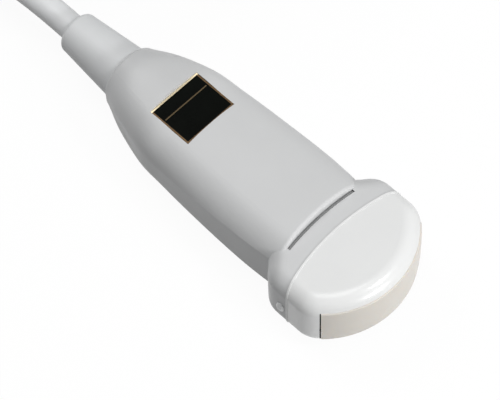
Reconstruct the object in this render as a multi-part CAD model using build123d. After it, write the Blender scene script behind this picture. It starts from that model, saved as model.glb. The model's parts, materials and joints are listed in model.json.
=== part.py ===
"""Curved-array ultrasound transducer probe with its cable, cable coil and system connector.

The probe lies on its belly. X runs along the probe towards the lens, Y across it and Z up.
The origin is on the flat of the belly, on the centre plane, and all lengths are in millimetres.
"""

from build123d import *
from math import degrees, hypot, pi, radians, sqrt, tan
import os

os.makedirs("parts", exist_ok=True)

# Handle of the housing
handle_length = 74.2
handle_width = 35.0
handle_thickness = 26.4
crown_radius = 45.0
wall = 2.0
belly_flat_depth = 0.45
origin_behind_step = 27.6
step_arc_radius = 80.0
step_round = 1.1
step_groove_width = 0.9
step_groove_depth = 0.6
step_groove_length = 25.0
rear_round = 1.4
rear_wall = 2.2

# Stations along the handle: share of its length from the rear end, then shares of its half width,
# its half thickness, the half thickness taken by the flat side, and the crown radius
handle_station_shares = [
    (0.000, 0.535, 0.770, 0.030, 0.211),
    (0.023, 0.558, 0.798, 0.034, 0.233),
    (0.059, 0.618, 0.850, 0.046, 0.300),
    (0.102, 0.690, 0.895, 0.070, 0.420),
    (0.195, 0.815, 0.966, 0.125, 0.680),
    (0.363, 0.955, 1.000, 0.245, 0.900),
    (0.530, 0.990, 1.000, 0.360, 1.000),
    (0.738, 1.000, 0.992, 0.460, 1.150),
    (0.895, 0.985, 0.985, 0.508, 1.500),
    (1.000, 0.950, 0.981, 0.525, 1.900),
    (1.052, 0.930, 0.981, 0.530, 2.000),
]
crown_span_share = 0.55

# Lip and groove where the shells meet, beside the stations whose sides are upright
tongue_start_share = 0.195
tongue_end_share = 0.895
tongue_height = 1.2
tongue_outer_inset = 0.75
tongue_inner_inset = 1.35

# Head: the flared collar of the housing and the nose in front of it
head_width = 44.0
head_thickness = 21.2
head_edge_round = 5.2
head_overlap = 9.6
flare_root_width = 31.0
flare_start_behind_step = 5.6
flare_length = 11.6
flare_middle_share = 0.58
seam_in_front_of_step = 6.2
seam_radius = 70.0
nose_length = 21.95
nose_front_radius = 26.9
nose_corner_radius = 8.5
nose_wall = 2.0
spigot_length = 3.8
spigot_wall = 0.95
lap_clearance = 0.05

# Seal bead between collar and nose
seal_width = 0.5
seal_stand_out = 0.15
seal_depth = 1.0

# Lens and acoustic stack, radii from the axis of the front curve
lens_height = 14.6
lens_half_angle = 46.8
lens_edge_inset = 0.45
lens_bulge = 0.2
lens_stand_out = 0.1
lens_edge_round = 0.5
lens_thickness = 1.5
lens_end_gap = 0.35
outer_matching_thickness = 0.35
inner_matching_thickness = 0.35
element_thickness = 0.55
element_relief = 0.02
element_height = 13.0
element_count = 64
element_fill_share = 0.75
backing_depth = 7.0
frame_half_angle = 52.0
frame_front_gap = 0.4
flex_thickness = 0.3
flex_side_gap = 0.5

# Electronics on the centre plate
chassis_rear_share = 24.6 / 74.2
chassis_side_gap = 1.1
chassis_thickness = 1.8
chassis_corner = 4.0
chassis_behind_step = 7.6
board_side_gap = 3.9
board_thickness = 1.2
board_setback = 2.0
spacer_height = 2.0
spacer_radius = 1.7
flex_socket_length = 5.0
flex_socket_side_gap = 1.0
flex_socket_height = 2.0
header_length = 4.0
header_side_gap = 1.5
header_height = 1.6
tuning_size = 2.6
tuning_height = 1.5
tuning_gap = 1.2
shield_thickness = 0.35
shield_side_gap = 0.6
shield_height = 6.2
shield_end_gap = 0.5
board_screw_radius = 0.8
board_screw_head_radius = 1.5
board_screw_head_height = 0.9
board_nut_flats = 3.2
board_nut_height = 1.2
screw_clearance = 0.05
screw_slot_share = 0.35
post_radius = 1.4
post_inset = 1.6
post_end_inset = 7.0

# Label plate on the crown
plate_place_share = 26.6 / 74.2
plate_length = 14.8
plate_width = 17.8
plate_thickness = 0.8
trim_width = 0.5
plate_clearance = 0.05
divider_width = 0.35
divider_depth = 0.15
divider_share = 0.32

# Orientation marker on the side of the collar
marker_behind_seam = 2.2
marker_below_middle = 1.0
marker_length = 3.6
marker_width = 2.7
marker_height = 0.9
marker_peg_radius = 0.7
marker_peg_length = 0.9

# Strain relief, clamp and cable end
boot_length = 22.0
boot_root_radius = 8.4
boot_tip_radius = 6.4
boot_tip_round = 1.5
boot_neck_radius = 6.4
boot_flange_radius = 7.1
boot_flange_thickness = 2.0
cable_diameter = 8.2
ferrule_thickness = 0.8
ferrule_length = 9.0
ferrule_gap = 0.3
clamp_length = 6.0
clamp_width = 16.4
clamp_arch_wall = 0.8
clamp_ear_thickness = 1.5
clamp_gap = 0.3
clamp_screw_radius = 0.7
clamp_screw_head_radius = 1.2
clamp_screw_head_height = 0.8
clamp_screw_length = 6.0
core_radius = 2.6
core_length = 6.0
fan_start_width = 4.0
fan_start_height = 2.2
fan_thickness = 1.0

# Cable route, chosen by hand: the lead from the strain relief's tip, and the tail from the
# coil's top layer, round on top of the coil and up to the connector
lead_points = [
    (-68.6, 0.0, 12.75),
    (-84.5, 0.0, 12.75),
    (-100.0, -2.2, 10.4),
    (-114.8, -7.2, 6.9),
    (-123.5, -11.9, 5.0),
]
tail_points = [
    (-163.3, -16.05, 29.4),
    (-180.2, -6.3, 30.2),
    (-191.4, 9.7, 33.5),
    (-194.8, 28.9, 38.0),
    (-189.7, 47.7, 42.0),
    (-177.2, 62.6, 45.4),
    (-161.9, 70.1, 47.8),
    (-149.1, 72.4, 48.8),
    (-139.1, 72.4, 48.8),
]
bend_share = 0.45

# Coil of put-away cable, with its tie
coil_centre_x = -147.0
coil_centre_y = 31.5
coil_outer_turn_radius = 49.35
coil_inner_turn_radius = 34.3
coil_layers = 4
coil_edge_round = 3.0
tie_thickness = 0.8
tie_width = 12.0
tie_angle = 270.0

# System connector: housing halves, mating frame, contacts and lock
connector_length = 46.0
connector_width = 80.0
connector_entry_offset = 24.5
connector_lower_height = 9.2
connector_upper_height = 13.0
connector_wall = 2.2
connector_corner = 7.0
connector_edge_round = 3.0
shroud_height = 6.0
shroud_inset = 6.0
shroud_wall = 1.8
shroud_corner = 4.0
frame_plate_thickness = 1.6
insert_thickness = 3.6
contact_rows = 5
contact_columns = 13
contact_pitch = 4.6
contact_radius = 0.6
contact_length = 4.4
connector_board_thickness = 1.6
connector_boot_length = 16.0
connector_boot_root_radius = 7.2
connector_boot_tip_radius = 5.8
connector_boot_neck_radius = 5.4
connector_boot_flange_radius = 6.4
connector_boot_flange_thickness = 1.8
connector_screw_radius = 1.2
connector_screw_head_radius = 2.3
connector_screw_head_height = 1.3
connector_screw_inset = 6.0
connector_column_radius = 3.1
lock_shaft_radius = 4.0
lock_clearance = 0.1
lock_hub_radius = 11.0
lock_hub_height = 6.0
lock_handle_length = 42.0
lock_handle_width = 9.0
lock_handle_height = 9.0
lock_key_length = 14.0
lock_key_width = 5.0
lock_key_thickness = 2.2
lock_gap = 0.4
lock_screw_radius = 1.5
lock_screw_head_radius = 2.8
lock_screw_head_height = 1.6
lock_screw_length = 9.0
overrun = 1.0

# Places that follow from the sizes above
mid_height = handle_thickness / 2 - belly_flat_depth
step_x = origin_behind_step
rear_x = step_x - handle_length
seam_x = step_x + seam_in_front_of_step
front_x = seam_x + nose_length
arc_centre_x = front_x - nose_front_radius
plate_x = rear_x + handle_length * plate_place_share
boot_tip_x = rear_x - boot_length
cable_shift_x = boot_tip_x - lead_points[0][0]
cable_radius = cable_diameter / 2


def export(part, node):
    """Write one named sub-part."""
    export_step(part, f"parts/{node}.step")


def box_between(low, high):
    """A box from its lowest to its highest corner."""
    size = [b - a for a, b in zip(low, high)]
    middle = [(a + b) / 2 for a, b in zip(low, high)]
    return Pos(*middle) * Box(*size)


def along_x(radius, start, end, y=0, z=None):
    """A round bar parallel to X."""
    height = mid_height if z is None else z
    return Pos((start + end) / 2, y, height) * Rot(0, 90, 0) * Cylinder(radius, end - start)


def upright(radius, low, high, x, y):
    """A round bar parallel to Z."""
    return Pos(x, y, (low + high) / 2) * Cylinder(radius, high - low)


def gather(solids):
    """Several separate solids as one group."""
    return Compound(children=list(solids))


def shoulder_middle(start, tangent, end):
    """The middle of the arc that leaves start along tangent and ends at end."""
    normal = (tangent[1], -tangent[0])
    chord = (end[0] - start[0], end[1] - start[1])
    radius = (chord[0] ** 2 + chord[1] ** 2) / (2 * (chord[0] * normal[0] + chord[1] * normal[1]))
    centre = (start[0] + normal[0] * radius, start[1] + normal[1] * radius)
    half = (start[0] + chord[0] / 2 - centre[0], start[1] + chord[1] / 2 - centre[1])
    stretch = radius / hypot(*half)
    return centre[0] + half[0] * stretch, centre[1] + half[1] * stretch


def handle_section(station, inset):
    """The upper half of one cross-section of the handle, set in from the outer surface."""
    length_share, width_share, thickness_share, side_share, crown_share = station
    x = rear_x + handle_length * length_share
    half_width = handle_width / 2 * width_share - inset
    half_height = handle_thickness / 2 * thickness_share - inset
    side = handle_thickness / 2 * side_share
    radius = crown_radius * crown_share - inset
    span = half_width * crown_span_share
    crown_end = half_height - radius + sqrt(radius**2 - span**2)
    tangent = (sqrt(radius**2 - span**2) / radius, -span / radius)
    bend = shoulder_middle((span, crown_end), tangent, (half_width, side))

    def at(y, z):
        return Vector(x, y, mid_height + z)

    edges = [
        Line(at(half_width, 0), at(half_width, side)),
        ThreePointArc(at(half_width, side), at(*bend), at(span, crown_end)),
        ThreePointArc(at(span, crown_end), at(0, half_height), at(-span, crown_end)),
        ThreePointArc(at(-span, crown_end), at(-bend[0], bend[1]), at(-half_width, side)),
        Line(at(-half_width, side), at(-half_width, 0)),
        Line(at(-half_width, 0), at(half_width, 0)),
    ]
    return Wire(edges)


def handle_body(inset=0):
    """The upper half of the handle's form, a smooth loft through its stations."""
    return Solid.make_loft([handle_section(s, inset) for s in handle_station_shares], False)


def head_plan(grow=0):
    """The head seen from above: flared sides, rounded corners and a curved front."""
    rear = step_x - head_overlap
    flare_start = step_x - flare_start_behind_step
    flare_end = flare_start + flare_length
    root = flare_root_width / 2 + grow
    half = head_width / 2 + grow
    radius = nose_front_radius + grow
    corner_x = arc_centre_x + sqrt(radius**2 - half**2)
    middle = (flare_start + flare_length / 2, root + (half - root) * flare_middle_share)

    def side(sign):
        return [
            Line((rear, sign * root), (flare_start, sign * root)),
            Spline(
                (flare_start, sign * root),
                (middle[0], sign * middle[1]),
                (flare_end, sign * half),
                tangents=[(1, 0), (1, 0)],
            ),
            Line((flare_end, sign * half), (corner_x, sign * half)),
        ]

    front = ThreePointArc((corner_x, half), (arc_centre_x + radius, 0), (corner_x, -half))
    outline = Wire([*side(1), front, *side(-1), Line((rear, root), (rear, -root))])
    face = Face(outline)
    corners = [v for v in face.vertices() if abs(v.X - corner_x) < wall / 2]
    return fillet(corners, nose_corner_radius + grow)


def head_body(grow=0):
    """The head's form, its long edges rounded top and bottom."""
    thickness = head_thickness + 2 * grow
    plan = Pos(0, 0, mid_height - thickness / 2) * head_plan(grow)
    body = extrude(plan, thickness, dir=(0, 0, 1))
    rear = step_x - head_overlap
    level = body.edges().filter_by(lambda e: abs(e.bounding_box().size.Z) < overrun / 100)
    rims = [e for e in level if e.bounding_box().max.X > rear + overrun / 2]
    return fillet(rims, head_edge_round + grow)


def seam_drum(offset=0):
    """A tall drum whose side is the seam between collar and nose."""
    return Pos(seam_x + seam_radius, 0, mid_height) * Cylinder(seam_radius + offset, 2 * head_thickness)


def front_sector(inner, outer, height, half_angle):
    """A ring sector about the axis of the front curve."""
    ring = Cylinder(outer, height) - Cylinder(inner, height + 2 * overrun)
    reach = 2 * outer
    slope = reach * tan(radians(half_angle))
    wedge = Polygon((0, 0), (reach, -slope), (reach, slope), align=None)
    wedge = Pos(0, 0, -height) * extrude(wedge, 2 * height)
    return Pos(arc_centre_x, 0, mid_height) * (ring & wedge)


def off_middle(edges):
    """The edges that don't lie on the plane where the two shells meet."""
    return [e for e in edges if e.bounding_box().max.Z > mid_height + overrun / 10]


def handle_outside():
    """The upper half of the handle with its stepped front end and rounded rear end."""
    drum = Pos(step_x + step_arc_radius, 0, mid_height) * Cylinder(step_arc_radius, 2 * handle_thickness)
    body = (handle_body() - drum).solid()
    front = body.faces().filter_by(GeomType.CYLINDER)[0]
    body = fillet(off_middle(front.edges()), step_round)
    rear_edges = [e for e in body.edges() if e.bounding_box().max.X < rear_x + overrun / 10]
    return fillet(off_middle(rear_edges), rear_round)


def upper_room():
    """Everything above the plane where the two shells meet."""
    return box_between(
        (rear_x - overrun, -head_width, mid_height),
        (front_x + overrun, head_width, mid_height + head_width),
    )


def step_groove():
    """Narrow groove in the collar's top, along the foot of the step."""
    foot = mid_height + head_thickness / 2
    place = Pos(step_x + step_arc_radius, 0, foot)
    slot = Cylinder(step_arc_radius, 2 * step_groove_depth)
    slot -= Cylinder(step_arc_radius - step_groove_width, 2 * step_groove_depth + overrun)
    reach = step_arc_radius / 2
    span = box_between(
        (step_x - reach, -step_groove_length / 2, foot - step_groove_depth),
        (step_x + reach, step_groove_length / 2, foot + step_groove_depth),
    )
    return (place * slot) & span


def housing_outside():
    """The upper half of handle and collar as one form."""
    collar = (head_body() - seam_drum(seal_width / 2)) & upper_room()
    return handle_outside() + collar - step_groove()


def housing_inside():
    """The upper half of the hollow, with the seat for the nose's spigot."""
    slab = box_between(
        (rear_x + rear_wall, -head_width, mid_height - overrun),
        (step_x - wall, head_width, handle_thickness + overrun),
    )
    seat = head_body(-seal_depth) & seam_drum(spigot_length + lap_clearance)
    return (handle_body(wall) & slab) + ((head_body(-wall) + seat) & upper_room())


def mirror_down(part):
    """The same part on the lower side of the middle plane."""
    return part.mirror(Plane.XY.offset(mid_height))


def plate_top():
    """Height of the label plate's face, level with the crown at the plate's sides."""
    half_height = handle_thickness / 2
    radius = crown_radius * handle_station_shares[5][4]
    return mid_height + half_height - radius + sqrt(radius**2 - (plate_width / 2) ** 2)


def plate_block(length, width, low, high):
    """A block centred on the label plate."""
    x = plate_x
    return box_between((x - length / 2, -width / 2, low), (x + length / 2, width / 2, high))


chassis_front_x = step_x - chassis_behind_step
chassis_length = chassis_front_x - rear_x - handle_length * chassis_rear_share
chassis_width = handle_width - 2 * (wall + chassis_side_gap)
chassis_middle_x = chassis_front_x - chassis_length / 2
board_length = chassis_length - 2 * board_setback
board_width = chassis_width - 2 * board_side_gap
board_front_x = chassis_front_x - board_setback
board_rear_x = board_front_x - board_length
flex_socket_width = board_width - 2 * flex_socket_side_gap
flex_width = flex_socket_width - 2 * flex_side_gap
header_width = board_width - 2 * header_side_gap
shield_length = chassis_length - 2 * shield_end_gap
shield_width = board_width + 2 * shield_side_gap
post_spacing = chassis_length - 2 * post_end_inset
board_low = chassis_thickness / 2 + spacer_height
board_high = board_low + board_thickness
post_y = chassis_width / 2 - post_inset
clamp_start_x = rear_x + rear_wall + boot_flange_thickness + 2 * ferrule_gap + ferrule_thickness
clamp_end_x = clamp_start_x + clamp_length
ferrule_start_x = rear_x + rear_wall + boot_flange_thickness + ferrule_gap
ferrule_end_x = ferrule_start_x + ferrule_length
ferrule_radius = cable_radius + ferrule_thickness
clamp_screw_y = clamp_width / 2 - clamp_screw_head_radius - screw_clearance


def shell_posts():
    """Round posts of the upper shell that hold the centre plate."""
    low = mid_height + chassis_thickness / 2
    high = mid_height + handle_thickness / 2
    places = [(chassis_middle_x + dx * post_spacing / 2, dy * post_y) for dx in (-1, 1) for dy in (-1, 1)]
    keep = handle_body(wall / 2)
    return [upright(post_radius, low, high, x, y) & keep for x, y in places]


def clamp_cradle():
    """The half-round seat for the ferrule, moulded across the lower shell."""
    top = mid_height - clamp_gap
    block = box_between((clamp_start_x, -handle_width, 0), (clamp_end_x, handle_width, top))
    block = block & mirror_down(handle_body(wall / 2))
    block -= along_x(ferrule_radius, clamp_start_x - overrun, clamp_end_x + overrun)
    middle = (clamp_start_x + clamp_end_x) / 2
    for side in (-1, 1):
        y = side * clamp_screw_y
        block -= upright(clamp_screw_radius, top - clamp_screw_length, top + overrun, middle, y)
    return block


def tongue(side, extra=0):
    """The lip along one side that locates the shells, or with extra the groove for it."""
    stations = [s for s in handle_station_shares if tongue_start_share <= s[0] <= tongue_end_share]
    line = [(rear_x + handle_length * s[0], handle_width / 2 * s[1]) for s in stations]
    line[0] = (line[0][0] - extra, line[0][1])
    line[-1] = (line[-1][0] + extra, line[-1][1])
    outer = [(x, side * (y - tongue_outer_inset + extra)) for x, y in line]
    inner = [(x, side * (y - tongue_inner_inset - extra)) for x, y in line]
    ends = [Line(outer[-1], inner[-1]), Line(inner[0], outer[0])]
    outline = Wire([Spline(*outer), ends[0], Spline(*inner), ends[1]])
    return extrude(Pos(0, 0, mid_height) * Face(outline), tongue_height + extra, dir=(0, 0, 1))


def make_shells():
    """Upper and lower shell of the housing."""
    half = housing_outside() - housing_inside()
    half -= along_x(boot_neck_radius, rear_x - overrun, rear_x + rear_wall + overrun)
    for post in shell_posts():
        half += post
    upper = half
    lower = mirror_down(half.solid())
    below = box_between((rear_x - overrun, -head_width, -handle_thickness), (front_x, head_width, 0))
    lower = lower - below + clamp_cradle()
    for side in (-1, 1):
        lower += tongue(side)
        upper -= tongue(side, lap_clearance)
    peg_x = marker_x()
    peg_z = mid_height - marker_below_middle
    depth = marker_peg_length
    lower -= Pos(peg_x, -head_width / 2, peg_z) * Rot(90, 0, 0) * Cylinder(marker_peg_radius, 2 * depth)
    top = plate_top()
    upper -= plate_block(plate_length, plate_width, top - plate_thickness, top + handle_thickness)
    export(upper.solid(), "upper_shell")
    export(lower.solid(), "lower_shell")


def marker_x():
    """Where the orientation marker sits, just behind the seam."""
    seam_side_x = seam_x + seam_radius - sqrt(seam_radius**2 - (head_width / 2) ** 2)
    return seam_side_x - marker_behind_seam


def make_nose():
    """White nose cap, its seal bead and its spigot into the collar."""
    outside = head_body()
    cap = outside & seam_drum(-seal_width / 2)
    spigot = head_body(-seal_depth - lap_clearance) & seam_drum(spigot_length)
    rear_cut = seam_drum(-seal_width / 2)
    cap = cap + (spigot - rear_cut) + (spigot & rear_cut)
    cap -= head_body(-nose_wall)
    window = front_sector(
        nose_front_radius - 3 * nose_wall,
        nose_front_radius + overrun,
        lens_height,
        lens_half_angle,
    )
    export((cap - window).solid(), "nose_piece")
    bead = head_body(seal_stand_out) - head_body(-seal_depth)
    bead = bead & (seam_drum(seal_width / 2) - seam_drum(-seal_width / 2))
    export(bead.solid(), "nose_seal")


lens_back_radius = nose_front_radius - lens_edge_inset - lens_thickness
outer_matching_back = lens_back_radius - outer_matching_thickness
inner_matching_back = outer_matching_back - inner_matching_thickness
element_back = inner_matching_back - element_thickness
backing_back = element_back - backing_depth
stack_half_angle = lens_half_angle - degrees(lens_end_gap / lens_back_radius)


def make_lens():
    """Silicone lens, about level with the nose, with rounded edges and a slight bulge."""
    half = lens_height / 2
    crest = nose_front_radius + lens_stand_out
    edge = crest - lens_edge_round
    shoulder = half - lens_edge_round
    bend = lens_edge_round * sqrt(2) / 2
    profile = Wire(
        [
            Line((0, 0, -half), (edge, 0, -half)),
            ThreePointArc((edge, 0, -half), (edge + bend, 0, -shoulder - bend), (crest, 0, -shoulder)),
            ThreePointArc((crest, 0, -shoulder), (crest + lens_bulge, 0, 0), (crest, 0, shoulder)),
            ThreePointArc((crest, 0, shoulder), (edge + bend, 0, shoulder + bend), (edge, 0, half)),
            Line((edge, 0, half), (0, 0, half)),
            Line((0, 0, half), (0, 0, -half)),
        ]
    )
    blank = Pos(arc_centre_x, 0, mid_height) * revolve(Face(profile), Axis.Z)
    window = front_sector(lens_back_radius, 2 * nose_front_radius, 2 * lens_height, stack_half_angle)
    export((blank & window).solid(), "acoustic_lens")


def make_stack():
    """Matching layers, element row and backing behind the lens."""
    outer = front_sector(outer_matching_back, lens_back_radius, element_height, stack_half_angle)
    export(outer.solid(), "outer_matching_layer")
    inner = front_sector(inner_matching_back, outer_matching_back, element_height, stack_half_angle)
    export(inner.solid(), "inner_matching_layer")
    step_angle = 2 * stack_half_angle / element_count
    middle_radius = (inner_matching_back + element_back) / 2
    bar_width = middle_radius * radians(step_angle) * element_fill_share
    bars = []
    for index in range(element_count):
        turn = -stack_half_angle + (index + 1 / 2) * step_angle
        bar = Pos(middle_radius, 0, 0) * Box(element_thickness - element_relief, bar_width, element_height)
        bars.append(Pos(arc_centre_x, 0, mid_height) * Rot(0, 0, turn) * bar)
    export(gather(bars), "piezo_elements")
    backing = front_sector(backing_back, element_back, element_height, stack_half_angle)
    export(backing.solid(), "backing_block")


def make_array_frame():
    """Moulded frame that holds the stack inside the nose."""
    height = head_thickness - 2 * nose_wall
    block = front_sector(backing_back, lens_back_radius - frame_front_gap, height, frame_half_angle)
    pocket = front_sector(
        backing_back - overrun,
        nose_front_radius,
        element_height + 2 * flex_thickness,
        stack_half_angle,
    )
    frame = (block - pocket) & head_body(-nose_wall)
    export(frame.solid(), "array_frame")


def make_flex(sign, node):
    """Flexible circuit from one edge of the stack back to its socket on the board."""
    sheet = front_sector(backing_back, element_back, flex_thickness, stack_half_angle)
    level = element_height / 2 + flex_thickness / 2
    sheet = Pos(0, 0, level) * sheet
    start_x = arc_centre_x + backing_back + overrun
    socket_x = board_front_x - flex_socket_length / 2
    socket_top = board_high + flex_socket_height
    rise = level - socket_top - flex_thickness / 2
    bend_x = board_front_x + 2 * abs(rise) + flex_socket_length
    centre = [
        (start_x, level),
        (bend_x, level),
        (board_front_x + flex_thickness, socket_top + flex_thickness / 2),
        (socket_x, socket_top + flex_thickness / 2),
    ]
    upper_side = [(x, z + flex_thickness / 2) for x, z in centre]
    under_side = [(x, z - flex_thickness / 2) for x, z in reversed(centre)]
    outline = Polyline(*upper_side, *under_side, close=True)
    strip = extrude(Plane.XZ * make_face(outline), flex_width / 2, both=True)
    strip = Pos(0, 0, mid_height) * strip
    whole = (sheet + strip).solid()
    if sign < 0:
        whole = whole.mirror(Plane.XY.offset(mid_height))
    export(whole, node)


def board_screw_places():
    """Centres of the four screws through the boards."""
    inner_x = board_rear_x + header_length + 2 * board_screw_head_radius
    outer_x = board_front_x - flex_socket_length - 2 * board_screw_head_radius
    y = board_width / 2 - board_screw_head_radius - screw_clearance
    return [(x, side * y) for x in (inner_x, outer_x) for side in (-1, 1)]


def make_electronics():
    """Centre plate, boards, sockets, headers, spacers, screws and shields."""
    chassis = Pos(chassis_middle_x, 0, mid_height) * Box(chassis_length, chassis_width, chassis_thickness)
    chassis = chamfer(chassis.edges().filter_by(Axis.Z), chassis_corner)
    board = box_between(
        (board_rear_x, -board_width / 2, mid_height + board_low),
        (board_front_x, board_width / 2, mid_height + board_high),
    )
    hole_radius = board_screw_radius + screw_clearance
    reach = mid_height + handle_thickness
    for x, y in board_screw_places():
        hole = upright(hole_radius, 0, reach, x, y)
        chassis -= hole
        board -= hole
    export(chassis.solid(), "centre_plate")
    export(board.solid(), "upper_board")
    export(mirror_down(board.solid()), "lower_board")
    spacers = []
    for x, y in board_screw_places():
        low = mid_height + chassis_thickness / 2
        ring = upright(spacer_radius, low, mid_height + board_low, x, y)
        ring -= upright(hole_radius, 0, reach, x, y)
        spacers += [ring.solid(), mirror_down(ring.solid())]
    export(gather(spacers), "board_spacers")
    screws = []
    nuts = []
    slot_half = board_screw_radius * screw_slot_share
    for x, y in board_screw_places():
        top = mid_height + board_high
        bottom = mid_height - board_high
        shank = upright(board_screw_radius, bottom - board_nut_height, top, x, y)
        head = upright(board_screw_head_radius, top, top + board_screw_head_height, x, y)
        slot = box_between(
            (x - board_screw_head_radius, y - slot_half, top + board_screw_head_height / 2),
            (x + board_screw_head_radius, y + slot_half, top + board_screw_head_height + overrun),
        )
        screws.append((shank + head - slot).solid())
        nut = extrude(RegularPolygon(board_nut_flats / 2, 6, major_radius=False), board_nut_height)
        nut = Pos(x, y, bottom - board_nut_height) * nut
        nuts.append((nut - upright(board_screw_radius, 0, reach, x, y)).solid())
    export(gather(screws), "board_screws")
    export(gather(nuts), "board_nuts")
    socket = box_between(
        (board_front_x - flex_socket_length, -flex_socket_width / 2, mid_height + board_high),
        (board_front_x, flex_socket_width / 2, mid_height + board_high + flex_socket_height),
    )
    export(gather([socket, mirror_down(socket)]), "flex_sockets")
    header = box_between(
        (board_rear_x, -header_width / 2, mid_height + board_high),
        (board_rear_x + header_length, header_width / 2, mid_height + board_high + header_height),
    )
    export(gather([header, mirror_down(header)]), "coax_headers")
    coils = []
    span = board_length - 2 * flex_socket_length - header_length
    tuning_count = int(span / (tuning_size + tuning_gap))
    for index in range(tuning_count):
        x = board_rear_x + header_length + flex_socket_length / 2 + span * (index + 1 / 2) / tuning_count
        chip = box_between(
            (x - tuning_size / 2, -tuning_size / 2, mid_height + board_high),
            (x + tuning_size / 2, tuning_size / 2, mid_height + board_high + tuning_height),
        )
        coils += [chip, mirror_down(chip)]
    export(gather(coils), "tuning_chips")
    low = mid_height + chassis_thickness / 2
    start = chassis_middle_x - shield_length / 2
    end = chassis_middle_x + shield_length / 2
    can = box_between((start, -shield_width / 2, low), (end, shield_width / 2, low + shield_height))
    can -= box_between(
        (start - overrun, -shield_width / 2 + shield_thickness, low - overrun),
        (end + overrun, shield_width / 2 - shield_thickness, low + shield_height - shield_thickness),
    )
    export(can.solid(), "upper_shield")
    export(mirror_down(can.solid()), "lower_shield")


def make_label():
    """Dark label plate with a scribed divider, in a narrow bright trim frame."""
    top = plate_top()
    low = top - plate_thickness
    edge = 2 * plate_clearance
    trim = plate_block(plate_length - edge, plate_width - edge, low, top)
    inner_length = plate_length - edge - 2 * trim_width
    inner_width = plate_width - edge - 2 * trim_width
    trim -= plate_block(inner_length, inner_width, low - overrun, top + overrun)
    export(trim.solid(), "label_trim")
    plate = plate_block(inner_length, inner_width, low, top - divider_depth)
    x = plate_x - inner_length / 2 + inner_length * divider_share
    ridge = box_between(
        (x - divider_width / 2, -inner_width / 2 + trim_width, top - 2 * divider_depth),
        (x + divider_width / 2, inner_width / 2 - trim_width, top),
    )
    export((plate + ridge).solid(), "label_plate")


def make_marker():
    """Oval orientation marker with a peg into the collar's wall."""
    size = marker_length
    dome = Sphere(size / 2) - box_between((-size, -size, -size), (size, size, 0))
    dome = scale(dome, by=(marker_width / size, 1, 2 * marker_height / size))
    peg = Pos(0, 0, -marker_peg_length / 2) * Cylinder(marker_peg_radius, marker_peg_length)
    marker = (dome + peg).solid()
    place = Pos(marker_x(), -head_width / 2, mid_height - marker_below_middle)
    export(place * Rot(90, 0, 0) * marker, "orientation_marker")


def turned(points, start_x, z):
    """A turned part about an axis parallel to X, from its radius at each distance."""
    outline = Polyline(*[(x, r) for x, r in points], close=True)
    return Pos(start_x, 0, z) * revolve(make_face(outline), Axis.X)


def make_strain_relief():
    """Tapered sleeve with a rounded tip, necked into the rear wall, and the parts in it."""
    inner = boot_length + rear_wall
    profile = [
        (0, cable_radius),
        (0, boot_tip_radius),
        (boot_length, boot_root_radius),
        (boot_length, boot_neck_radius),
        (inner, boot_neck_radius),
        (inner, boot_flange_radius),
        (inner + boot_flange_thickness, boot_flange_radius),
        (inner + boot_flange_thickness, cable_radius),
    ]
    boot = turned(profile, boot_tip_x, mid_height)
    tip = boot.edges().filter_by(GeomType.CIRCLE).filter_by(
        lambda e: e.center().X < boot_tip_x + overrun / 10 and e.radius > cable_radius + overrun / 2
    )
    boot = fillet(tip, boot_tip_round)
    export(boot.solid(), "strain_relief")
    ferrule = along_x(ferrule_radius, ferrule_start_x, ferrule_end_x)
    ferrule -= along_x(cable_radius, ferrule_start_x - overrun, ferrule_end_x + overrun)
    export(ferrule.solid(), "braid_ferrule")
    low = mid_height - clamp_gap
    ears = box_between(
        (clamp_start_x, -clamp_width / 2, low),
        (clamp_end_x, clamp_width / 2, low + clamp_ear_thickness),
    )
    arch = along_x(ferrule_radius + clamp_arch_wall, clamp_start_x, clamp_end_x)
    arch &= box_between((clamp_start_x, -handle_width, low), (clamp_end_x, handle_width, handle_thickness))
    strap = ears + arch
    strap -= along_x(ferrule_radius, clamp_start_x - overrun, clamp_end_x + overrun)
    middle = (clamp_start_x + clamp_end_x) / 2
    screws = []
    for side in (-1, 1):
        y = side * clamp_screw_y
        strap -= upright(clamp_screw_radius + screw_clearance, 0, handle_thickness, middle, y)
        top = low + clamp_ear_thickness
        shank = upright(clamp_screw_radius, low - clamp_screw_length + overrun, top, middle, y)
        head = upright(clamp_screw_head_radius, top, top + clamp_screw_head_height, middle, y)
        screws.append((shank + head).solid())
    export(strap.solid(), "cable_clamp")
    export(gather(screws), "clamp_screws")


def make_cable_end():
    """Stripped end of the cable: jacket in the sleeve, then core and two fans of coax."""
    core_end = ferrule_end_x + core_length
    end = along_x(cable_radius, boot_tip_x, ferrule_end_x) + along_x(core_radius, ferrule_end_x, core_end)
    start_z = mid_height + fan_start_height / 2
    end_z = mid_height + board_high + header_height / 2
    start = Plane(origin=(core_end - overrun, 0, start_z), x_dir=(0, 1, 0), z_dir=(1, 0, 0))
    finish = Plane(origin=(board_rear_x, 0, end_z), x_dir=(0, 1, 0), z_dir=(1, 0, 0))
    root = start * Rectangle(fan_start_width, fan_start_height)
    fan = loft([root, finish * Rectangle(header_width, fan_thickness)])
    whole = end + fan + mirror_down(fan)
    export(whole.solid(), "cable_end")


def tube_path(points):
    """Straight runs joined by tangent arcs, as large as the runs allow."""
    corners = [Vector(x + cable_shift_x, y, z) for x, y, z in points]
    runs = [b - a for a, b in zip(corners, corners[1:])]
    radii = []
    for before, after in zip(runs, runs[1:]):
        half_turn = radians(before.get_angle(after)) / 2
        radii.append(bend_share * min(before.length, after.length) / tan(half_turn))
    print("bend radii", [round(r) for r in radii])
    return FilletPolyline(*corners, radius=radii)


def make_tube(points, node):
    """One uncoiled stretch of the cable."""
    path = tube_path(points)
    start = Plane(origin=path @ 0, z_dir=path % 0)
    tube = sweep(start * Circle(cable_radius), path)
    share = tube.volume / (pi * cable_radius**2 * path.length)
    print(node, "length", round(path.length, 1), "volume share", round(share, 4))
    export(tube.solid(), node)


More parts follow.
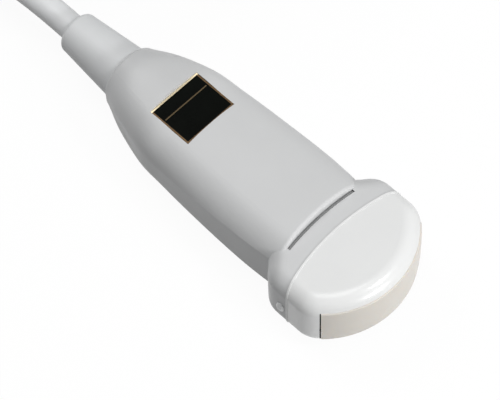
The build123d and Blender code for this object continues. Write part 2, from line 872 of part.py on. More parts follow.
coil_height = coil_layers * cable_diameter


def coil_ring(grow=0):
    """A ring with rounded edges, as wide and high as the wound cable."""
    inner = coil_inner_turn_radius - cable_radius - grow
    outer = coil_outer_turn_radius + cable_radius + grow
    height = coil_height + 2 * grow
    ring = Cylinder(outer, height) - Cylinder(inner, height + overrun)
    place = Pos(coil_centre_x + cable_shift_x, coil_centre_y, tie_thickness + coil_height / 2)
    return place * fillet(ring.edges(), coil_edge_round + grow)


def make_coil():
    """Outer shape of the wound cable, and the strap round it."""
    ring = coil_ring()
    export(ring.solid(), "cable_coil")
    band = coil_ring(tie_thickness) - ring
    reach = 2 * coil_outer_turn_radius
    middle = Pos(coil_centre_x + cable_shift_x, coil_centre_y, 0)
    cut = middle * Rot(0, 0, tie_angle) * Pos(reach / 2, 0, 0) * Box(reach, tie_width, reach)
    export((band & cut).solid(), "coil_tie")


connector_rear_x = tail_points[-1][0] + cable_shift_x + connector_boot_length
connector_middle_x = connector_rear_x + connector_length / 2
entry_y = tail_points[-1][1]
connector_y = entry_y - connector_entry_offset
cable_entry_z = tail_points[-1][2]
connector_base = tie_thickness + coil_height
connector_low = connector_base + shroud_height
connector_split = connector_low + connector_lower_height
connector_top = connector_split + connector_upper_height


def rounded_slab(length, width, corner, low, high):
    """A slab with rounded corners, centred on the connector."""
    slab = extrude(RectangleRounded(length, width, corner), high - low)
    return Pos(connector_middle_x, connector_y, low) * slab


def connector_case(low, high, open_low):
    """One half of the connector's housing, rounded on its closed side."""
    case = rounded_slab(connector_length, connector_width, connector_corner, low, high)
    rims = case.faces().sort_by(Axis.Z)[0 if not open_low else -1].edges()
    case = fillet(rims, connector_edge_round)
    inner_low = low - overrun if open_low else low + connector_wall
    inner_high = high - connector_wall if open_low else high + overrun
    case -= rounded_slab(
        connector_length - 2 * connector_wall,
        connector_width - 2 * connector_wall,
        connector_corner - connector_wall,
        inner_low,
        inner_high,
    )
    return case


def connector_screw_places():
    """Centres of the four screws that close the connector."""
    dx = connector_length / 2 - connector_screw_inset
    dy = connector_width / 2 - connector_screw_inset
    return [(connector_middle_x + sx * dx, connector_y + sy * dy) for sx in (-1, 1) for sy in (-1, 1)]


def make_connector_case():
    """Housing halves with cable entry, screw columns and the hole for the lock shaft."""
    lower = connector_case(connector_low, connector_split, False)
    upper = connector_case(connector_split, connector_top, True)
    column = connector_column_radius
    for x, y in connector_screw_places():
        lower += upright(column, connector_low, connector_split, x, y)
        upper += upright(column, connector_split, connector_top - connector_wall, x, y)
    shroud_length = connector_length - 2 * shroud_inset
    shroud_width = connector_width - 2 * shroud_inset
    opening = rounded_slab(
        shroud_length - 2 * shroud_wall,
        shroud_width - 2 * shroud_wall,
        shroud_corner - shroud_wall,
        connector_low - overrun,
        connector_low + connector_wall + overrun,
    )
    lower -= opening
    entry = along_x(
        connector_boot_neck_radius,
        connector_rear_x - overrun,
        connector_rear_x + connector_wall + overrun,
        entry_y,
        cable_entry_z,
    )
    bore = upright(
        lock_shaft_radius + lock_clearance,
        0,
        connector_top + overrun,
        connector_middle_x,
        connector_y,
    )
    lower -= entry
    upper = upper - entry - bore
    screws = []
    for x, y in connector_screw_places():
        lower -= upright(connector_screw_radius + screw_clearance, 0, connector_split + overrun, x, y)
        lower -= upright(
            connector_screw_head_radius + screw_clearance,
            0,
            connector_low + connector_screw_head_height,
            x,
            y,
        )
        inside_top = connector_top - connector_wall
        upper -= upright(connector_screw_radius, connector_split - overrun, inside_top, x, y)
        shank = upright(
            connector_screw_radius,
            connector_low + connector_screw_head_height,
            connector_top - 2 * connector_wall,
            x,
            y,
        )
        head = upright(
            connector_screw_head_radius,
            connector_low,
            connector_low + connector_screw_head_height,
            x,
            y,
        )
        screws.append((shank + head).solid())
    export(lower.solid(), "connector_lower_case")
    export(upper.solid(), "connector_upper_case")
    export(gather(screws), "connector_screws")


def make_connector_inside():
    """Metal mating frame with its shroud, contact block, contacts and board."""
    length = connector_length - 2 * shroud_inset
    width = connector_width - 2 * shroud_inset
    inner = (length - 2 * shroud_wall, width - 2 * shroud_wall, shroud_corner - shroud_wall)
    case_floor = connector_low + connector_wall
    shroud = rounded_slab(*inner, connector_base, case_floor + frame_plate_thickness)
    thin = (inner[0] - 2 * shroud_wall, inner[1] - 2 * shroud_wall, shroud_corner - shroud_wall)
    shroud -= rounded_slab(*thin, 0, connector_top)
    lip = rounded_slab(length, width, shroud_corner, case_floor, case_floor + frame_plate_thickness)
    lip -= rounded_slab(*thin, 0, connector_top)
    for x, y in connector_screw_places():
        lip -= upright(connector_column_radius + screw_clearance, 0, connector_top, x, y)
    export((shroud + lip).solid(), "mating_frame")
    insert_low = case_floor + frame_plate_thickness - insert_thickness
    block = rounded_slab(*thin, insert_low, insert_low + insert_thickness)
    keyway = upright(
        hypot(lock_key_length, lock_key_width) / 2 + lock_gap,
        0,
        connector_top,
        connector_middle_x,
        connector_y,
    )
    block -= keyway
    pins = []
    for row in range(contact_rows):
        for column in range(contact_columns):
            x = connector_middle_x + (row - (contact_rows - 1) / 2) * contact_pitch
            y = connector_y + (column - (contact_columns - 1) / 2) * contact_pitch
            if hypot(x - connector_middle_x, y - connector_y) < lock_key_length / 2 + 3 * contact_radius:
                continue
            low = insert_low + insert_thickness - contact_length
            pins.append(upright(contact_radius, low, insert_low + insert_thickness, x, y))
            block -= upright(contact_radius, 0, connector_top, x, y)
    export(block.solid(), "contact_block")
    export(gather([p.solid() for p in pins]), "contact_pins")
    board_base = insert_low + insert_thickness
    board = rounded_slab(*thin, board_base, board_base + connector_board_thickness)
    board -= upright(lock_shaft_radius + lock_gap, 0, connector_top, connector_middle_x, connector_y)
    for x, y in connector_screw_places():
        board -= upright(connector_column_radius + screw_clearance, 0, connector_top, x, y)
    export(board.solid(), "connector_board")


def make_connector_boot():
    """Tapered sleeve where the cable enters the connector, with its crimp ring inside."""
    inner = connector_boot_length + connector_wall
    end = inner + connector_boot_flange_thickness
    profile = [
        (0, cable_radius),
        (0, connector_boot_tip_radius),
        (connector_boot_length, connector_boot_root_radius),
        (connector_boot_length, connector_boot_neck_radius),
        (inner, connector_boot_neck_radius),
        (inner, connector_boot_flange_radius),
        (end, connector_boot_flange_radius),
        (end, cable_radius),
    ]
    start_x = connector_rear_x - connector_boot_length
    boot = Pos(0, entry_y, 0) * turned(profile, start_x, cable_entry_z)
    export(boot.solid(), "connector_strain_relief")
    ring_length = 2 * connector_boot_flange_thickness
    core = along_x(cable_radius, start_x, start_x + end + ring_length, entry_y, cable_entry_z)
    export(core.solid(), "connector_cable_end")
    crimp = along_x(
        cable_radius + ferrule_thickness,
        start_x + end,
        start_x + end + ring_length,
        entry_y,
        cable_entry_z,
    )
    export((crimp - core).solid(), "connector_crimp_ring")


def make_lock():
    """Quarter-turn lock: lever outside, shaft with its key in the mating face, and screw."""
    x, y = connector_middle_x, connector_y
    base = connector_top + lock_gap
    hub = upright(lock_hub_radius, base, base + lock_hub_height, x, y)
    grip = box_between(
        (x - lock_handle_length / 2, y - lock_handle_width / 2, base),
        (x + lock_handle_length / 2, y + lock_handle_width / 2, base + lock_handle_height),
    )
    grip = fillet(grip.edges().filter_by(Axis.Z), lock_handle_width / 3)
    grip = fillet(grip.faces().sort_by(Axis.Z)[-1].edges(), lock_handle_width / 6)
    lever = hub + grip
    seat = base + lock_handle_height - lock_screw_head_height
    lever -= upright(lock_screw_head_radius, seat, seat + lock_handle_height, x, y)
    lever -= upright(lock_screw_radius, base - overrun, seat + overrun, x, y)
    export(lever.solid(), "lock_lever")
    key_low = connector_low - lock_gap - lock_key_thickness
    shaft = upright(lock_shaft_radius, key_low, base, x, y)
    key = box_between(
        (x - lock_key_length / 2, y - lock_key_width / 2, key_low),
        (x + lock_key_length / 2, y + lock_key_width / 2, key_low + lock_key_thickness),
    )
    shaft += key
    thread = seat - lock_screw_length
    shaft -= upright(lock_screw_radius, thread, base + overrun, x, y)
    export(shaft.solid(), "lock_shaft")
    screw = upright(lock_screw_radius, thread, seat, x, y)
    screw += upright(lock_screw_head_radius, seat, seat + lock_screw_head_height, x, y)
    slot_half = lock_screw_radius * screw_slot_share
    slot = box_between(
        (x - lock_screw_head_radius, y - slot_half, seat + lock_screw_head_height / 2),
        (x + lock_screw_head_radius, y + slot_half, seat + 2 * lock_screw_head_height),
    )
    export((screw - slot).solid(), "lock_screw")


make_shells()
make_nose()
make_lens()
make_stack()
make_array_frame()
make_flex(1, "upper_flex_circuit")
make_flex(-1, "lower_flex_circuit")
make_electronics()
make_label()
make_marker()
make_strain_relief()
make_cable_end()
make_tube(lead_points, "cable_lead")
make_tube(tail_points, "cable_tail")
make_coil()
make_connector_case()
make_connector_inside()
make_connector_boot()
make_lock()
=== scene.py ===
"""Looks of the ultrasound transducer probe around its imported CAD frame. Lengths are in metres."""

import json
import math

import bpy
from mathutils import Matrix, Vector


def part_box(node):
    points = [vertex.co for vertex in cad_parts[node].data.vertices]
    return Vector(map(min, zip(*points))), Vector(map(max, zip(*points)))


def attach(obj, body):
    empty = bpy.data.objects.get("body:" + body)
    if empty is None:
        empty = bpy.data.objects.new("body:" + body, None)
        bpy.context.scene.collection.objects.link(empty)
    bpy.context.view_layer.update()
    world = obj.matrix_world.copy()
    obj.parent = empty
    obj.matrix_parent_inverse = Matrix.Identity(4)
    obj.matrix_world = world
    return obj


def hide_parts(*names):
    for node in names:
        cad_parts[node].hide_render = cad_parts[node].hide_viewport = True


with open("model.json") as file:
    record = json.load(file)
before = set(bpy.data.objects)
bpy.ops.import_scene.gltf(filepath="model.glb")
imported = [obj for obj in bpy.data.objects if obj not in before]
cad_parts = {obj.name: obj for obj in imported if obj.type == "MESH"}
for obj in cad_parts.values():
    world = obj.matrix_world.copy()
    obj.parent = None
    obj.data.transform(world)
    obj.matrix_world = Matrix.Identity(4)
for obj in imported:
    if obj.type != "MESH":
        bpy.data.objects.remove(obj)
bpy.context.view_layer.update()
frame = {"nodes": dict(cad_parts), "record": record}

MM = 1e-3
MICRON = 1e-6

# Camera, fitted to the photograph
PHOTO_WIDTH = 500
PHOTO_HEIGHT = 400
SENSOR = 36.0
CAMERA_AZIMUTH = 47.41
CAMERA_ELEVATION = 60.49
CAMERA_ROLL = -3.0
CAMERA_DISTANCE = 0.600
CAMERA_NEAR = 0.01
CAMERA_FAR = 20
PIXELS_PER_METRE = 3650.0
AIM_POINT = Vector((-0.020, 0.0, 0.0248))
AIM_PIXEL = (192.33, 108.3)

# Cable; its route is in mm and that of the solids, but for the lead's second and third points
CABLE_RADIUS = 4.1 * MM
CABLE_ROUND_STEPS = 8
CABLE_STEPS_PER_POINT = 6
LEAD_POINTS = [
    (-68.6, 0.0, 12.75),
    (-88.5, 0.3, 12.9),
    (-102.5, -1.6, 10.9),
    (-114.8, -7.2, 6.9),
    (-123.5, -11.9, 5.0),
]
TAIL_POINTS = [
    (-163.3, -16.05, 29.4),
    (-180.2, -6.3, 30.2),
    (-191.4, 9.7, 33.5),
    (-194.8, 28.9, 38.0),
    (-189.7, 47.7, 42.0),
    (-177.2, 62.6, 45.4),
    (-161.9, 70.1, 47.8),
    (-149.1, 72.4, 48.8),
    (-139.1, 72.4, 48.8),
]
COIL_CENTRE = (-147.0, 31.5)
COIL_OUTER_RADIUS = 49.35
COIL_INNER_RADIUS = 34.3
COIL_START = math.radians(-61.6)
COIL_END = math.radians(-120.0)
COIL_FULL_TURNS = 7
COIL_LAYER_HEIGHTS = [5.0, 13.15, 21.25, 29.4]
COIL_CLIMB_SHARE = 0.12
POINTS_PER_TURN = 24

# Sockets of Blender's Mix node for colours
MIX_SHARE = 0
MIX_FIRST = 6
MIX_SECOND = 7
MIX_COLOUR = 2

# Most of a noise's values lie between these two
NOISE_LOW = 0.3
NOISE_HIGH = 0.7
NOISE_DETAIL = 3.0
GRAIN_DETAIL = 4.0
LOWEST_ROUGHNESS = 0.02

# Details of single materials, with bands and cells per metre
# Painted shade in the housing's narrow grooves: how far the occlusion looks, and the darkest share
# of the colour
GROOVE_SHADE_REACH = 1.6 * MM
GROOVE_SHADE_DARKEST = 0.35
DIVIDER_DEPTH = 0.08 * MM
DIVIDER_COLOUR = (0.12, 0.088, 0.050)
# Painted highlight in pale gold along the trim's rear edge: its width and colour
TRIM_HIGHLIGHT_WIDTH = 0.6 * MM
TRIM_HIGHLIGHT_COLOUR = (0.80, 0.68, 0.46)
TIE_THREADS = 420
FLEX_TRACKS = 500
BOARD_FIBRES = 330
BOARD_CELLS = 260
BOARD_TRACK_REPEAT = 0.12
BOARD_TRACK_START = 0.085

# Light and surroundings
FLOOR_SIZE = 6.0
FLOOR_LEVEL = -0.2 * MM
FLOOR_COLOUR = (0.36, 0.36, 0.36)
FLOOR_GLOW_SHARE = 0.95
WORLD_COLOUR = (0.97, 0.985, 1.0, 1)
WORLD_LEVEL = 0.10
WHITE = (1, 1, 1, 1)
WHITE_LEVEL = 1.0
LAMP_AIM = Vector((-0.01, 0.0, 0.015))
# Name, place, width and height, power in watts
LAMPS = [
    ("top", (0.05, 0.05, 1.2), (0.5, 0.5), 2.8),
    ("front", (1.12, 0.10, 0.42), (0.36, 0.16), 8.0),
    ("front_high", (0.72, 0.30, 0.95), (0.26, 0.26), 4.0),
    ("rear", (-0.75, 0.0, 0.95), (0.6, 0.6), 5.2),
]


def add_object(name, data):
    """A new object in the scene."""
    item = bpy.data.objects.new(name, data)
    bpy.context.collection.objects.link(item)
    return item


def add_camera():
    """The photograph's camera, placed so that the aim point falls on the aim pixel."""
    azimuth = math.radians(CAMERA_AZIMUTH)
    elevation = math.radians(CAMERA_ELEVATION)
    roll = math.radians(CAMERA_ROLL)
    level = math.cos(elevation)
    back = Vector((math.sin(azimuth) * level, -math.cos(azimuth) * level, math.sin(elevation)))
    flat_right = Vector((math.cos(azimuth), math.sin(azimuth), 0))
    flat_up = back.cross(flat_right)
    right = math.cos(roll) * flat_right + math.sin(roll) * flat_up
    up = -math.sin(roll) * flat_right + math.cos(roll) * flat_up
    aside = (AIM_PIXEL[0] - PHOTO_WIDTH / 2) / PIXELS_PER_METRE
    above = -(AIM_PIXEL[1] - PHOTO_HEIGHT / 2) / PIXELS_PER_METRE
    place = AIM_POINT + back * CAMERA_DISTANCE - right * aside - up * above
    data = bpy.data.cameras.new("camera")
    data.sensor_width = SENSOR
    data.lens = PIXELS_PER_METRE * CAMERA_DISTANCE / PHOTO_WIDTH * SENSOR
    data.clip_start = CAMERA_NEAR
    data.clip_end = CAMERA_FAR
    camera = add_object("camera", data)
    turn = Matrix((right, up, back)).transposed()
    camera.matrix_world = Matrix.Translation(place) @ turn.to_4x4()
    bpy.context.scene.camera = camera


def coil_height(layer, along):
    """The cable's height in a layer; half of each climb lies in either layer."""
    height = COIL_LAYER_HEIGHTS[layer]
    if along < COIL_CLIMB_SHARE and layer > 0:
        below = COIL_LAYER_HEIGHTS[layer - 1]
        return below + (height - below) * (0.5 + 0.5 * along / COIL_CLIMB_SHARE)
    if along > 1 - COIL_CLIMB_SHARE and layer < len(COIL_LAYER_HEIGHTS) - 1:
        above = COIL_LAYER_HEIGHTS[layer + 1]
        return height + (above - height) * 0.5 * (1 - (1 - along) / COIL_CLIMB_SHARE)
    return height


def coil_points():
    """The coil's turns: four layers, wound inwards and outwards by turns, from the floor up."""
    layers = len(COIL_LAYER_HEIGHTS)
    sweep = COIL_START - COIL_END + 2 * math.pi * COIL_FULL_TURNS
    steps = round(sweep / (2 * math.pi) * POINTS_PER_TURN)
    points = []
    for index in range(steps + 1):
        share = index / steps
        layer = min(layers - 1, int(share * layers))
        along = share * layers - layer
        inward = along if layer % 2 == 0 else 1 - along
        radius = COIL_OUTER_RADIUS - (COIL_OUTER_RADIUS - COIL_INNER_RADIUS) * inward
        turn = COIL_START - sweep * share
        x = COIL_CENTRE[0] + radius * math.cos(turn)
        y = COIL_CENTRE[1] + radius * math.sin(turn)
        points.append((x, y, coil_height(layer, along)))
    return points


def add_cable():
    """The whole cable as one smooth curve: lead, coil and tail."""
    points = LEAD_POINTS[:-1] + coil_points() + TAIL_POINTS[1:]
    curve = bpy.data.curves.new("cable", "CURVE")
    curve.dimensions = "3D"
    # The thickness is in the points' radii, because Blender adds those to the object's box
    curve.bevel_depth = 1.0
    curve.bevel_resolution = CABLE_ROUND_STEPS
    curve.resolution_u = CABLE_STEPS_PER_POINT
    curve.use_fill_caps = True
    spline = curve.splines.new("NURBS")
    spline.points.add(len(points) - 1)
    for point, place in zip(spline.points, points):
        point.co = (*(value * MM for value in place), 1)
        point.radius = CABLE_RADIUS
    spline.order_u = 3
    spline.use_endpoint_u = True
    cable = add_object("cable", curve)
    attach(cable, "probe")
    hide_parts("cable_lead", "cable_coil", "cable_tail")
    return cable


class Nodes:
    """A node tree, with short ways to add to it."""

    def __init__(self, tree):
        self.tree = tree

    def fill(self, socket, value):
        """A link or a value for a socket."""
        if isinstance(value, bpy.types.NodeSocket):
            self.tree.links.new(value, socket)
        else:
            socket.default_value = value

    def add(self, kind, values=None, **settings):
        """A node with its settings and its sockets' values or links."""
        node = self.tree.nodes.new(kind)
        for key, value in settings.items():
            setattr(node, key, value)
        for key, value in (values or {}).items():
            self.fill(node.inputs[key], value)
        return node

    def maths(self, operation, first, second):
        """One sum of two values."""
        return self.add("ShaderNodeMath", {0: first, 1: second}, operation=operation).outputs[0]

    def mixed(self, share, first, second):
        """A shader between two."""
        return self.add("ShaderNodeMixShader", {0: share, 1: first, 2: second}).outputs[0]

    def sees_white(self):
        """1 for the rays that meet the white background, and 0 for those that carry light."""
        rays = self.add("ShaderNodeLightPath").outputs
        seen = self.maths("MAXIMUM", rays["Is Camera Ray"], rays["Is Transmission Ray"])
        return self.maths("MAXIMUM", seen, rays["Is Glossy Ray"])


class Look(Nodes):
    """A material under construction."""

    def __init__(self, name, colour, roughness, metallic=0.0):
        self.material = bpy.data.materials.new(name)
        self.material.use_nodes = True
        super().__init__(self.material.node_tree)
        self.shader = self.tree.nodes["Principled BSDF"]
        self.colour = colour
        self.roughness = roughness
        self.set(Base_Color=(*colour, 1), Roughness=roughness, Metallic=metallic)
        self.place = self.add("ShaderNodeTexCoord").outputs["Object"]

    def set(self, **inputs):
        """Values or links of the shader's sockets, with the names' spaces as underscores."""
        for key, value in inputs.items():
            self.fill(self.shader.inputs[key.replace("_", " ")], value)

    def linked_colour(self):
        """The socket that gives the shader its colour so far."""
        return self.shader.inputs["Base Color"].links[0].from_socket

    def coordinate(self, axis):
        """The place along an axis, given by its letter."""
        return self.add("ShaderNodeSeparateXYZ", {0: self.place}).outputs[axis]

    def noise(self, scale, detail=NOISE_DETAIL, stretch=(1, 1, 1)):
        """Noise from 0 to 1, in grains per metre, longer along an axis with a small stretch."""
        values = {"Vector": self.place, "Scale": stretch}
        place = self.add("ShaderNodeMapping", values).outputs[0]
        values = {"Vector": place, "Scale": scale, "Detail": detail}
        return self.add("ShaderNodeTexNoise", values).outputs["Fac"]

    def bands(self, scale, axis):
        """Even bands across one axis, from 0 to 1."""
        values = {"Vector": self.place, "Scale": scale}
        return self.add("ShaderNodeTexWave", values, bands_direction=axis).outputs["Fac"]

    def spread(self, value, low=0, high=1):
        """A noise's value, spread over another range."""
        values = {"Value": value, "From Min": NOISE_LOW, "From Max": NOISE_HIGH}
        values.update({"To Min": low, "To Max": high})
        return self.add("ShaderNodeMapRange", values).outputs[0]

    def blend(self, share, first, second):
        """A colour between two."""
        values = {MIX_SHARE: share}
        for index, value in ((MIX_FIRST, first), (MIX_SECOND, second)):
            values[index] = value if isinstance(value, bpy.types.NodeSocket) else (*value, 1)
        return self.add("ShaderNodeMix", values, data_type="RGBA").outputs[MIX_COLOUR]

    def tint(self, share):
        """The look's colour, lighter or darker by a share."""
        return tuple(min(1.0, c * (1 + share)) for c in self.colour)

    def relief(self, height, depth):
        """Bumps of that depth."""
        bump = self.add("ShaderNodeBump", {"Height": height, "Distance": depth, "Strength": 1.0})
        self.set(Normal=bump.outputs[0])

    def grain(self, scale, depth, vary=0.03, rough_vary=0.05, stretch=(1, 1, 1), patches=70):
        """Uneven colour and gloss over the surface, and a fine texture of that depth."""
        wide = self.noise(patches)
        fine = self.noise(scale, GRAIN_DETAIL, stretch)
        self.set(Base_Color=self.blend(self.spread(wide), self.tint(-vary), self.tint(vary)))
        both = self.maths("MULTIPLY", self.maths("ADD", wide, fine), 0.5)
        glossy = max(LOWEST_ROUGHNESS, self.roughness - rough_vary)
        dull = min(1.0, self.roughness + rough_vary)
        self.set(Roughness=self.spread(both, glossy, dull))
        self.relief(fine, depth)


def finish_housing(look):
    """Narrow grooves get painted shade: the colour darkens by ambient occlusion within a short
    reach.
    """
    colour = look.linked_colour()
    openness = look.add("ShaderNodeAmbientOcclusion", {"Distance": GROOVE_SHADE_REACH}).outputs["AO"]
    # Painted shade: grooves and corners darken towards this colour
    dark = tuple(c * GROOVE_SHADE_DARKEST for c in look.colour)
    look.set(Base_Color=look.blend(look.spread(openness), dark, colour), IOR=1.40)


def finish_nose(look):
    """A clear skin over slightly cloudy white."""
    look.set(IOR=1.42, Coat_Weight=0.4, Coat_Roughness=0.08, Coat_IOR=1.45)
    look.set(Subsurface_Weight=0.05, Subsurface_Radius=(2 * MM, 2 * MM, 2 * MM))


def finish_lens(look):
    """Cloudy silicone."""
    look.set(Subsurface_Weight=0.25, Subsurface_Radius=(3 * MM, 2.2 * MM, 1.5 * MM), IOR=1.36)


def finish_marker(look):
    """A thin clear skin."""
    look.set(Coat_Weight=0.3)


def finish_plate(look):
    """The raised divider is bare bronze."""
    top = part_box("label_plate")[1][2]
    raised = look.maths("GREATER_THAN", look.coordinate("Z"), top - DIVIDER_DEPTH)
    colour = look.blend(raised, look.linked_colour(), DIVIDER_COLOUR)
    look.set(Base_Color=colour, Specular_IOR_Level=0.03)


def finish_trim(look):
    """A painted highlight: the frame's rear edge is pale gold."""
    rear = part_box("label_trim")[0][0]
    # Painted highlight: paler gold along the rear edge
    painted_highlight = look.maths("LESS_THAN", look.coordinate("X"), rear + TRIM_HIGHLIGHT_WIDTH)
    look.set(Base_Color=look.blend(painted_highlight, look.linked_colour(), TRIM_HIGHLIGHT_COLOUR))


def finish_tie(look):
    """A weave of threads."""
    along, across, upright = (look.bands(TIE_THREADS, axis) for axis in "XYZ")
    weave = look.maths("ADD", look.maths("MULTIPLY", along, across), upright)
    thread = look.maths("MULTIPLY", weave, 0.5)
    shade = look.spread(thread)
    look.set(Base_Color=look.blend(shade, (0.012, 0.012, 0.014), (0.045, 0.045, 0.05)))
    look.set(Roughness=look.spread(look.noise(2500), 0.7, 0.95), Sheen_Weight=0.3)
    look.relief(thread, 180 * MICRON)


def finish_flex(look):
    """Amber film over rows of copper tracks."""
    tracks = look.maths("GREATER_THAN", look.bands(FLEX_TRACKS, "Y"), 0.5)
    uneven = look.spread(look.noise(300))
    film = look.blend(uneven, (0.46, 0.18, 0.025), (0.54, 0.22, 0.035))
    look.set(Base_Color=look.blend(tracks, film, (0.62, 0.30, 0.10)))
    look.set(Roughness=look.spread(look.noise(900), 0.22, 0.38))
    look.set(Coat_Weight=0.5, Coat_Roughness=0.1)
    look.relief(tracks, 20 * MICRON)


def finish_board(look):
    """Solder mask over tracks, with a fibre weave underneath."""
    values = {"Vector": look.place, "Scale": BOARD_CELLS}
    cells = look.add("ShaderNodeTexVoronoi", values, distance="MANHATTAN").outputs["Distance"]
    lines = look.maths("PINGPONG", cells, BOARD_TRACK_REPEAT)
    tracks = look.maths("GREATER_THAN", lines, BOARD_TRACK_START)
    along, across = (look.bands(BOARD_FIBRES, axis) for axis in "XY")
    weave = look.maths("MULTIPLY", along, across)
    mask = look.blend(look.spread(weave), (0.016, 0.13, 0.05), (0.024, 0.18, 0.07))
    look.set(Base_Color=look.blend(tracks, mask, (0.05, 0.27, 0.11)))
    look.set(Roughness=look.spread(look.noise(1200), 0.22, 0.4))
    look.set(Coat_Weight=0.4, Coat_Roughness=0.12)
    look.relief(tracks, 30 * MICRON)


def finish_lever(look):
    """A faint clear skin."""
    look.set(Coat_Weight=0.15)


def look_values(colour, roughness, metallic=0.0, finish=None, **texture):
    """One row of the looks: the shader's values, the texture for grain, and a last step."""
    return {"shader": (colour, roughness, metallic), "texture": texture, "finish": finish}


LOOKS = {
    # Satin light grey moulding with a fine spark texture, and painted shade in narrow grooves
    "housing": look_values(
        (0.605, 0.61, 0.612), 0.42, finish=finish_housing,
        scale=5200, depth=12 * MICRON, vary=0.012, rough_vary=0.05,
    ),
    # Smooth white moulding
    "nose": look_values(
        (0.77, 0.775, 0.77), 0.30, finish=finish_nose,
        scale=3800, depth=6 * MICRON, vary=0.01, rough_vary=0.04,
    ),
    # Beige silicone
    "lens": look_values(
        (0.68, 0.645, 0.59), 0.36, finish=finish_lens,
        scale=2600, depth=8 * MICRON, vary=0.02, rough_vary=0.05, patches=110,
    ),
    # Pale elastic bead
    "seal": look_values(
        (0.80, 0.805, 0.80), 0.4,
        scale=3000, depth=8 * MICRON, vary=0.03, rough_vary=0.06,
    ),
    # Smooth pale marker
    "marker": look_values(
        (0.70, 0.71, 0.71), 0.3, finish=finish_marker,
        scale=2500, depth=6 * MICRON, vary=0.03, rough_vary=0.04, patches=400,
    ),
    # Smooth, nearly black plate
    "plate": look_values(
        (0.0015, 0.0021, 0.0014), 0.30, finish=finish_plate,
        scale=1800, depth=4 * MICRON, vary=0.15, rough_vary=0.06, patches=220,
    ),
    # Thin frame of dark bronze, with a painted highlight along its rear edge
    "trim": look_values(
        (0.105, 0.063, 0.028), 0.34, 0.7, finish=finish_trim,
        scale=2600, depth=6 * MICRON, vary=0.12, rough_vary=0.08, patches=500,
    ),
    # Matte grey elastomer
    "boot": look_values(
        (0.72, 0.73, 0.735), 0.55,
        scale=4200, depth=16 * MICRON, vary=0.02, rough_vary=0.06,
    ),
    # Smooth matte jacket
    "cable": look_values(
        (0.80, 0.81, 0.815), 0.5,
        scale=2400, depth=12 * MICRON, vary=0.025, rough_vary=0.07, patches=120,
    ),
    # Black woven strap
    "tie": look_values((0.02, 0.02, 0.022), 0.8, finish=finish_tie),
    # Resin filled with powder
    "matching": look_values(
        (0.10, 0.11, 0.12), 0.6,
        scale=6500, depth=10 * MICRON, vary=0.12, rough_vary=0.08, patches=1500,
    ),
    # Fired ceramic with fine pores
    "ceramic": look_values(
        (0.48, 0.40, 0.24), 0.5,
        scale=7000, depth=12 * MICRON, vary=0.08, rough_vary=0.1, patches=1800,
    ),
    # Cast dark rubber with filler specks
    "backing": look_values(
        (0.022, 0.022, 0.025), 0.7,
        scale=3800, depth=30 * MICRON, vary=0.3, rough_vary=0.08, patches=1400,
    ),
    # Dark glass-filled moulding
    "moulding": look_values(
        (0.028, 0.028, 0.031), 0.5,
        scale=4200, depth=20 * MICRON, vary=0.15, rough_vary=0.1,
    ),
    # Flexible circuit
    "flex": look_values((0.50, 0.20, 0.03), 0.3, finish=finish_flex),
    # Green circuit board
    "board": look_values((0.02, 0.16, 0.06), 0.3, finish=finish_board),
    # Moulded components
    "chips": look_values(
        (0.015, 0.015, 0.017), 0.45,
        scale=5200, depth=16 * MICRON, vary=0.2, rough_vary=0.1, patches=900,
    ),
    # Rolled aluminium sheet
    "sheet": look_values(
        (0.62, 0.63, 0.64), 0.35, 1.0,
        scale=2400, depth=6 * MICRON, vary=0.03, rough_vary=0.08,
        stretch=(0.05, 1, 1), patches=150,
    ),
    # Tinned sheet with rolling marks
    "shield": look_values(
        (0.58, 0.58, 0.57), 0.38, 1.0,
        scale=2100, depth=8 * MICRON, vary=0.05, rough_vary=0.1,
        stretch=(0.06, 1, 1), patches=220,
    ),
    # Machined steel with turning marks
    "screws": look_values(
        (0.48, 0.48, 0.49), 0.3, 1.0,
        scale=3200, depth=8 * MICRON, vary=0.05, rough_vary=0.1,
        stretch=(1, 1, 0.1), patches=900,
    ),
    # Textured grey case
    "connector_case": look_values(
        (0.45, 0.46, 0.465), 0.52,
        scale=2600, depth=30 * MICRON, vary=0.015, rough_vary=0.06, patches=60,
    ),
    # Die-cast frame with a satin plating
    "connector_metal": look_values(
        (0.60, 0.61, 0.63), 0.36, 1.0,
        scale=2200, depth=18 * MICRON, vary=0.04, rough_vary=0.09, patches=260,
    ),
    # Gold-plated pins
    "contacts": look_values(
        (0.83, 0.58, 0.20), 0.25, 1.0,
        scale=3200, depth=6 * MICRON, vary=0.06, rough_vary=0.07, patches=700,
    ),
    # Smooth dark grey lever
    "lever": look_values(
        (0.075, 0.08, 0.088), 0.34, finish=finish_lever,
        scale=2600, depth=10 * MICRON, vary=0.05, rough_vary=0.07, patches=90,
    ),
    # Turned steel with fine rings
    "shaft": look_values(
        (0.52, 0.52, 0.53), 0.28, 1.0,
        scale=2400, depth=6 * MICRON, vary=0.04, rough_vary=0.08,
        stretch=(0.1, 0.1, 1), patches=300,
    ),
}


def build_look(name):
    """The material of one slot."""
    values = LOOKS[name]
    look = Look(name, *values["shader"])
    if values["texture"]:
        look.grain(**values["texture"])
    if values["finish"]:
        values["finish"](look)
    return look.material


def dress(cable):
    """Every CAD node and the cable get the material of their slot."""
    made = {name: build_look(name) for name in LOOKS}
    for entry in frame["record"]["subparts"]:
        data = frame["nodes"][entry["node"]].data
        data.materials.clear()
        data.materials.append(made[entry["material_slot"]])
    cable.data.materials.append(made["cable"])


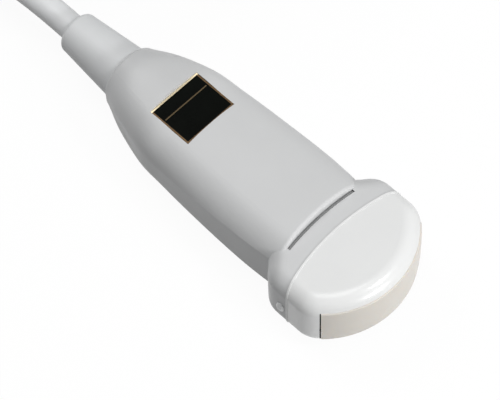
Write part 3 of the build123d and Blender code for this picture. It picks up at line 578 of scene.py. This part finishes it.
def add_floor():
    """White floor that keeps a faint shadow, and bounces the light of a pale grey one."""
    half = FLOOR_SIZE / 2
    signs = [(-1, -1), (1, -1), (1, 1), (-1, 1)]
    mesh = bpy.data.meshes.new("floor")
    mesh.from_pydata([(x * half, y * half, FLOOR_LEVEL) for x, y in signs], [], [(0, 1, 2, 3)])
    floor = add_object("floor", mesh)
    look = Look("floor", FLOOR_COLOUR, 0.9)
    look.grain(scale=900, depth=10 * MICRON, vary=0.01, rough_vary=0.05, patches=5)
    seen = look.sees_white()
    glow = look.add("ShaderNodeEmission", {"Color": WHITE, "Strength": WHITE_LEVEL}).outputs[0]
    white = look.add("ShaderNodeBsdfDiffuse", {"Color": WHITE}).outputs[0]
    pale = look.mixed(FLOOR_GLOW_SHARE, white, glow)
    both = look.mixed(seen, look.shader.outputs[0], pale)
    look.fill(look.tree.nodes["Material Output"].inputs["Surface"], both)
    mesh.materials.append(look.material)


def add_world():
    """White for the rays that see it, and an even pale grey for the light."""
    world = bpy.data.worlds.new("studio")
    bpy.context.scene.world = world
    world.use_nodes = True
    world.node_tree.nodes.clear()
    nodes = Nodes(world.node_tree)
    seen = nodes.sees_white()
    values = {"Color": WORLD_COLOUR, "Strength": WORLD_LEVEL}
    light = nodes.add("ShaderNodeBackground", values).outputs[0]
    values = {"Color": WHITE, "Strength": WHITE_LEVEL}
    white = nodes.add("ShaderNodeBackground", values).outputs[0]
    nodes.add("ShaderNodeOutputWorld", {"Surface": nodes.mixed(seen, light, white)})


def add_lamps():
    """Soft lamps that point at the probe."""
    for name, place, (width, height), power in LAMPS:
        data = bpy.data.lights.new(name, "AREA")
        data.shape = "RECTANGLE"
        data.size = width
        data.size_y = height
        data.energy = power
        lamp = add_object(name, data)
        lamp.location = place
        lamp.rotation_euler = (LAMP_AIM - Vector(place)).to_track_quat("-Z", "Y").to_euler()


add_camera()
cable = add_cable()
dress(cable)
add_floor()
add_world()
add_lamps()
bpy.context.scene.view_settings.view_transform = "Standard"
bpy.context.view_layer.update()
